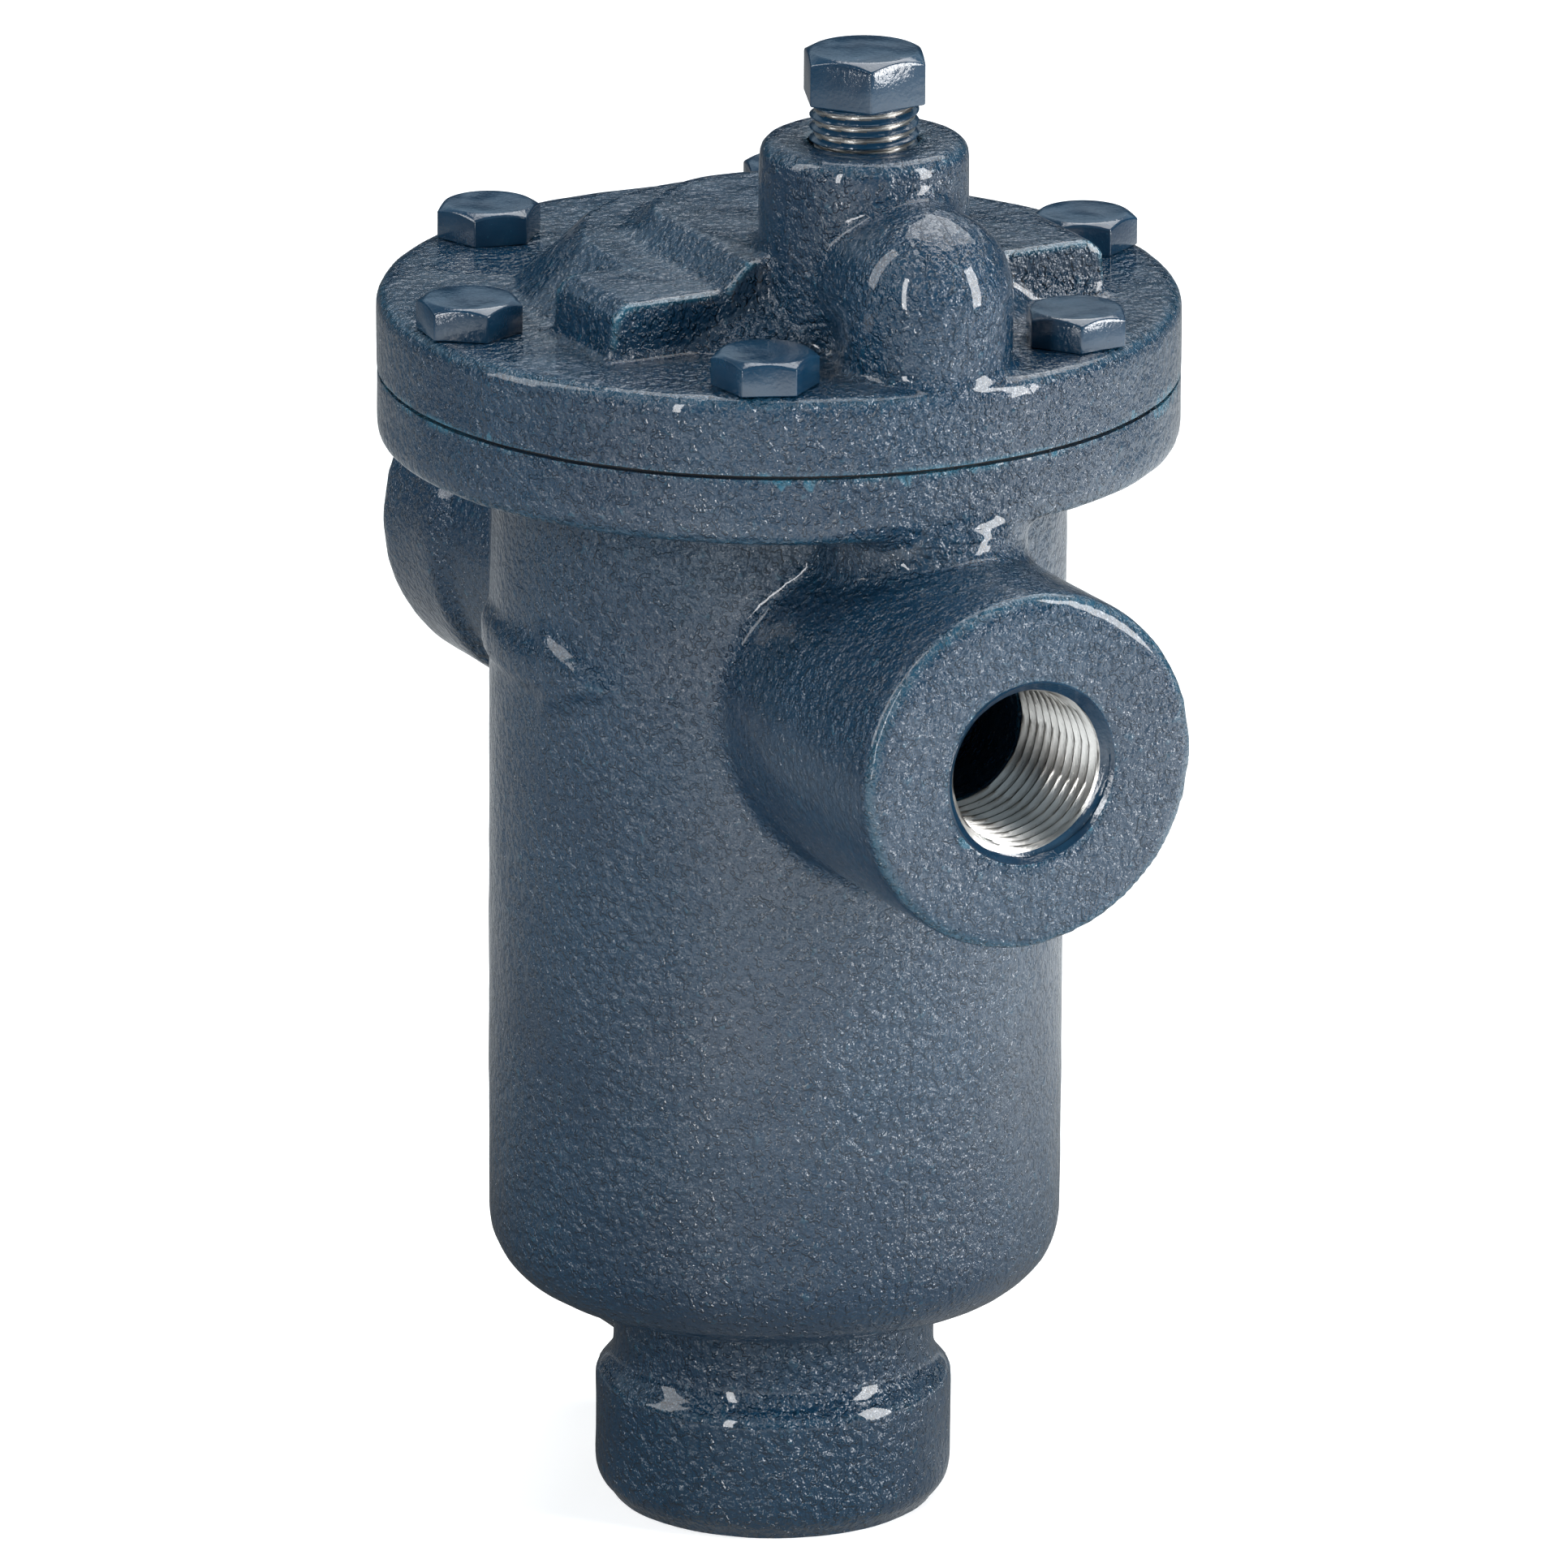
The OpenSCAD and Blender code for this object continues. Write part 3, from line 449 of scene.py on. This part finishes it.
# %% Enamel over smooth steel
def smooth_enamel():
    paint = Shader("smooth_enamel")
    sag = paint.noise(5 * MM, detail=1.0)
    dust = paint.noise(0.5 * MM, detail=2.0)
    tone = paint.mix_colour(paint.ramp(sag, 0.3, 0.7), DEEP_BLUE, MID_BLUE)
    colour = paint.mix_colour(paint.ramp(dust, 0.66, 0.8) * 0.2, tone, THIN_BLUE)
    return paint.set(
        Base_Color=colour,
        Roughness=0.13 + dust * 0.10,
        Normal=paint.bump(sag * 0.8 + dust * 0.12, 0.5 * MM),
        Coat_Weight=0.35,
        Coat_Roughness=0.05)


SMOOTH_ENAMEL = smooth_enamel()
print("mixed", SMOOTH_ENAMEL.name)

# %% [markdown]
# ## Bare metal
#
# The pipe threads are cut after casting, so they are bare, greyish iron with fine turning marks. The
# mechanism inside is stainless: the drawn bucket and the tube are brighter, the pressed pieces are
# duller.

# %% Bare metals and the gasket
def metal(name, colour, stain, roughness, streak_scale):
    bare = Shader(name)
    streaks = bare.noise(0.5 * MM, detail=3.0, place=bare.stretched(streak_scale))
    blotch = bare.noise(6 * MM, detail=3.0)
    shade = bare.mix_colour(bare.ramp(blotch, 0.35, 0.75) * 0.6, colour, stain)
    return bare.set(
        Base_Color=shade,
        Metallic=1.0,
        Roughness=roughness + streaks * 0.18,
        Normal=bare.bump(streaks, 0.03 * MM))


CUT_IRON = metal("cut_iron", (0.46, 0.45, 0.43, 1), (0.24, 0.22, 0.20, 1), 0.22, (6, 1, 1))
BRIGHT_STEEL = metal("bright_steel", (0.66, 0.66, 0.65, 1), (0.50, 0.49, 0.47, 1), 0.20, (1, 1, 0.1))
DULL_STEEL = metal("dull_steel", (0.50, 0.50, 0.49, 1), (0.36, 0.35, 0.33, 1), 0.34, (0.2, 1, 1))


def gasket_sheet():
    sheet = Shader("gasket_sheet")
    fibre = sheet.noise(0.8 * MM, detail=4.0, roughness=0.7)
    colour = sheet.mix_colour(fibre, (0.010, 0.011, 0.013, 1), (0.035, 0.037, 0.042, 1))
    return sheet.set(Base_Color=colour, Roughness=0.75 + fibre * 0.15, Normal=sheet.bump(fibre, 0.08 * MM))


GASKET_SHEET = gasket_sheet()
print("mixed the bare metals and the gasket sheet")

# %% [markdown]
# ## The castings
#
# A casting has no sharp edge anywhere: the pattern maker rounds every corner so that the sand holds and
# the iron flows. Bevelling each edge by hand would be long work. Instead the CAD solid is copied, turned
# into an even skin of small squares by a voxel remesh, and smoothed, which rounds edges and fills
# corners at once. A slow noise then moves the skin by a few hundredths, as cast surfaces wander. The
# faces that are machined after casting are cut again at the end, so that they are flat and crisp.

# %% Cast skin
def copy_of(node, name):
    """A merged copy of a CAD node, because the node's own mesh is loose triangles."""
    source = frame["nodes"][node]
    piece = bpy.data.objects.new(name, source.data.copy())
    bpy.context.scene.collection.objects.link(piece)
    piece.data.materials.clear()
    only(piece)
    bpy.ops.object.mode_set(mode="EDIT")
    bpy.ops.mesh.select_all(action="SELECT")
    bpy.ops.mesh.remove_doubles(threshold=0.002 * MM)
    bpy.ops.object.mode_set(mode="OBJECT")
    return piece


def raise_face(piece, height, by):
    """Move the flat face at a height, so that there is stock to machine off."""
    for vertex in piece.data.vertices:
        if abs(vertex.co.z - height) < 0.01 * MM:
            vertex.co.z += by


def cast_skin(piece, voxel, smoothing, wander):
    modify(piece, "REMESH", mode="VOXEL", voxel_size=voxel)
    modify(piece, "SMOOTH", factor=0.5, iterations=smoothing)
    lumps = bpy.data.textures.new(piece.name + "_lumps", "CLOUDS")
    lumps.noise_scale = 7 * MM
    lumps.noise_depth = 1
    modify(piece, "DISPLACE", texture=lumps, strength=wander, mid_level=0.5, texture_coords="LOCAL")
    return piece


def machine(piece, height, side):
    """Cut the casting flat at a height: side 1 takes off what lies above it, and -1 what lies below."""
    clear()
    bpy.ops.mesh.primitive_cube_add(size=1, location=(0, 0, height + side * SLAB_H / 2))
    slab = bpy.context.object
    slab.scale = (SLAB_W, SLAB_W, SLAB_H)
    cut(piece, settle(slab))


# Iron left on a machined face until it is cut
STOCK = 1.0 * MM
SLAB_W = 120 * MM
SLAB_H = 10 * MM
BODY_VOXEL = 0.85 * MM
CAP_VOXEL = 0.7 * MM
WANDER = 0.22 * MM
SLEEVE_R = 11.0 * MM
SLEEVE_L = 20.0 * MM

casting = copy_of("body", "body_casting")
raise_face(casting, joint_z, STOCK)
raise_face(casting, 0, -STOCK)
cast_skin(casting, BODY_VOXEL, 5, WANDER)
machine(casting, joint_z, 1)
machine(casting, 0, -1)
for side in (-1, 1):
    bore_start = (side * (port_x - SLEEVE_L), 0, port_z)
    bore_end = (side * (port_x + STOCK * 2), 0, port_z)
    cut(casting, cylinder("bore", SLEEVE_R, bore_start, bore_end))
finish_piece(casting, "trap", CAST_ENAMEL, replaces=("body",))

# %% The cap's skin
cap_casting = copy_of("cap", "cap_casting")
raise_face(cap_casting, cap_under_z, -STOCK)
cast_skin(cap_casting, CAP_VOXEL, 3, WANDER)
machine(cap_casting, cap_under_z, -1)
finish_piece(cap_casting, "trap", CAST_ENAMEL, replaces=("cap",))

# %% [markdown]
# ## Pipe threads
#
# A thread is a ridge wound on a cylinder, so its radius is a wave of one number: the distance along the
# axis less the share of a turn. A flat grid is rolled up and its radius follows that wave, which closes
# without a step where the turn ends. Solidify then gives the sheet a wall.

# %% Roll a threaded sleeve
def thread_wave(phase):
    """A trapezium wave between -1 and 1: steep flanks with small flats."""
    distance = abs((phase % 1.0) - 0.5) * 4 - 1
    return max(-0.75, min(0.75, distance)) / 0.75


def threaded_sheet(name, radius, depth, pitch, length, rings_per_turn=12, segments=96, taper=0.0, lip=None):
    """A rolled sheet along +Z from 0 to length; taper is the radius lost per metre of length."""
    rings = int(rings_per_turn * length / pitch)
    clear()
    bpy.ops.mesh.primitive_grid_add(x_subdivisions=segments, y_subdivisions=rings, size=1)
    piece = bpy.context.object
    piece.name = name
    for vertex in piece.data.vertices:
        turn_share = vertex.co.x + 0.5
        along = (vertex.co.y + 0.5) * length
        wave = thread_wave(along / pitch - turn_share)
        r = radius - taper * along + wave * depth / 2
        if lip:
            r = lip(along, r)
        angle = turn_share * math.tau
        vertex.co = (r * math.cos(angle), r * math.sin(angle), along)
    only(piece)
    bpy.ops.object.mode_set(mode="EDIT")
    bpy.ops.mesh.select_all(action="SELECT")
    bpy.ops.mesh.remove_doubles(threshold=0.001 * MM)
    bpy.ops.mesh.normals_make_consistent(inside=False)
    bpy.ops.object.mode_set(mode="OBJECT")
    face = piece.data.polygons[0]
    if face.normal.x * face.center.x + face.normal.y * face.center.y < 0:
        piece.data.flip_normals()
    return piece


# %% Thread both ports
PIPE_PITCH = 25.4 * MM / 14
PIPE_DEPTH = 1.25 * MM
PIPE_MEAN_R = 9.85 * MM


def mouth(along, r):
    """The countersink: the radius opens evenly over the last stretch before the face."""
    left = SLEEVE_L - along
    opening = SLEEVE_R - 0.10 * MM - left * 0.9
    return max(r, opening)


def port_sleeve(name, side):
    sleeve = threaded_sheet(name, PIPE_MEAN_R, PIPE_DEPTH, PIPE_PITCH, SLEEVE_L, lip=mouth)
    # The sheet is rolled facing outwards; a bore is seen from inside, so the wall is added outwards
    for vertex in sleeve.data.vertices:
        along = vertex.co.z
        vertex.co = (side * (port_x - SLEEVE_L + along), -side * vertex.co.y, port_z + vertex.co.x)
    return sleeve


SLEEVE_WALL = 0.25 * MM
PAINTED_RIM = 1.3 * MM
for name, side in (("outlet_thread", 1), ("inlet_thread", -1)):
    sleeve = port_sleeve(name, side)
    modify(sleeve, "SOLIDIFY", thickness=SLEEVE_WALL, offset=1.0)
    sleeve.data.materials.append(CUT_IRON)
    sleeve.data.materials.append(SMOOTH_ENAMEL)
    for face in sleeve.data.polygons:
        face.material_index = 1 if abs(face.center.x) > port_x - PAINTED_RIM else 0
    finish_piece(sleeve, "trap", CUT_IRON, smooth_angle=35)

# %% [markdown]
# ## Hexagon heads
#
# A hexagon head is forged and then chamfered on a lathe: the flats meet the chamfer in six shallow arcs.
# Cutting the hexagonal bar with a turned cone gives those arcs exactly, which a plain bevel would not. A
# small bevel then rounds the edges as thick paint does.

# %% Model one head
def hex_head(name, across_flats, height, chamfer=30.0, face_share=0.93):
    corner_r = across_flats / 2 / math.cos(math.pi / 6)
    head = cylinder(name, corner_r, (0, 0, 0), (0, 0, height), vertices=6)
    # The primitive's first corner points along Y, and the model's heads start with a corner along X
    head.data.transform(Matrix.Rotation(math.radians(-90), 4, "Z"))
    clear()
    face_r = across_flats / 2 * face_share
    slope = math.tan(math.radians(chamfer))
    low = -height
    bpy.ops.mesh.primitive_cone_add(
        vertices=96, radius1=face_r + (height - low) / slope, radius2=face_r, depth=height - low,
        location=(0, 0, (height + low) / 2))
    cone = settle(bpy.context.object)
    modify(head, "BOOLEAN", operation="INTERSECT", object=cone, solver="EXACT")
    bpy.data.objects.remove(cone)
    modify(head, "BEVEL", width=0.22 * MM, segments=3, limit_method="ANGLE", angle_limit=math.radians(25))
    return head


def join(first, *others):
    clear()
    for other in others:
        other.select_set(True)
    first.select_set(True)
    bpy.context.view_layer.objects.active = first
    bpy.ops.object.join()
    return first


# %% Cap screws
SCREW_AF = 11.1 * MM
SCREW_R = 3.175 * MM
SCREW_TURNS = (7, 31, 12, 48, 23, 37)
FIRST_SCREW_ANGLE = 30
SCREW_PITCH_ANGLE = 60
SHANK_EDGE = 0.4 * MM
SHANK_LAP = 0.5 * MM
screw_tip_z = screws_low[2]

head = hex_head("cap_screw", SCREW_AF, SCREW_HEAD_H)
shank = cylinder("shank", SCREW_R, (0, 0, screw_tip_z - cap_top_z), (0, 0, SHANK_LAP), vertices=48)
modify(shank, "BEVEL", width=SHANK_EDGE, segments=2, limit_method="ANGLE", angle_limit=math.radians(40))
first_screw = join(head, shank)
for index, turned in enumerate(SCREW_TURNS):
    screw = first_screw.copy()
    screw.data = first_screw.data.copy()
    bpy.context.scene.collection.objects.link(screw)
    screw.name = f"cap_screw_{index + 1}"
    around = math.radians(FIRST_SCREW_ANGLE + SCREW_PITCH_ANGLE * index)
    place = Vector((screw_circle_r * math.cos(around), screw_circle_r * math.sin(around), cap_top_z))
    screw.matrix_world = Matrix.Translation(place) @ Matrix.Rotation(around + math.radians(turned), 4, "Z")
    finish_piece(screw, "trap", SMOOTH_ENAMEL, smooth_angle=30,
                 replaces=("cap_screws",) if index == 0 else ())
bpy.data.objects.remove(first_screw)

# %% The test plug
PLUG_AF = 13.5 * MM
PLUG_HEAD_H = 5.9 * MM
PLUG_PITCH = 25.4 * MM / 18
PLUG_R = 6.4 * MM
PLUG_TURN = math.radians(38)
PLUG_THREAD_DEPTH = 0.75 * MM
PLUG_THREAD_IN = 0.35 * MM
plug_head_z = plug_high[2] - PLUG_HEAD_H

plug = hex_head("test_plug_head", PLUG_AF, PLUG_HEAD_H)
plug.matrix_world = Matrix.Translation((plug_x, 0, plug_head_z)) @ Matrix.Rotation(PLUG_TURN, 4, "Z")
finish_piece(plug, "trap", SMOOTH_ENAMEL, smooth_angle=30, replaces=("test_plug",))

thread = threaded_sheet("test_plug_thread", PLUG_R - PLUG_THREAD_IN, PLUG_THREAD_DEPTH, PLUG_PITCH,
                        plug_head_z - plug_low[2], segments=72)
thread.location = (plug_x, 0, plug_low[2])
settle(thread)
thread.data.materials.append(SMOOTH_ENAMEL)
thread.data.materials.append(CUT_IRON)
groove_r = PLUG_R - 0.52 * MM
for face in thread.data.polygons:
    from_axis = math.hypot(face.center.x - plug_x, face.center.y)
    face.material_index = 1 if from_axis < groove_r else 0
modify(thread, "SOLIDIFY", thickness=2.0 * MM, offset=-1.0)
finish_piece(thread, "trap", SMOOTH_ENAMEL, smooth_angle=35)

# %% [markdown]
# ## The pieces that keep their CAD shape
#
# The mechanism, the gasket and the strainer plug are turned or pressed pieces, and the CAD model already
# has their true shape. They only need their finishes.

# %% Dress the carried-over nodes
FINISHES = {
    "cap_gasket": GASKET_SHEET, "strainer_gasket": GASKET_SHEET,
    "strainer_plug": SMOOTH_ENAMEL, "blowdown_plug": CUT_IRON,
    "valve_seat": BRIGHT_STEEL, "valve": BRIGHT_STEEL, "guide_pins": BRIGHT_STEEL,
    "guide_screws": BRIGHT_STEEL, "bucket": BRIGHT_STEEL, "clip_rivets": BRIGHT_STEEL,
    "inlet_tube": BRIGHT_STEEL, "strainer_screen": BRIGHT_STEEL,
    "valve_retainer": DULL_STEEL, "lever": DULL_STEEL, "guide_plate": DULL_STEEL,
    "guide_washers": DULL_STEEL, "bucket_clip": DULL_STEEL,
}
for node, finish in FINISHES.items():
    materials = frame["nodes"][node].data.materials
    materials.clear()
    materials.append(finish)
print("dressed", len(FINISHES), "CAD nodes")
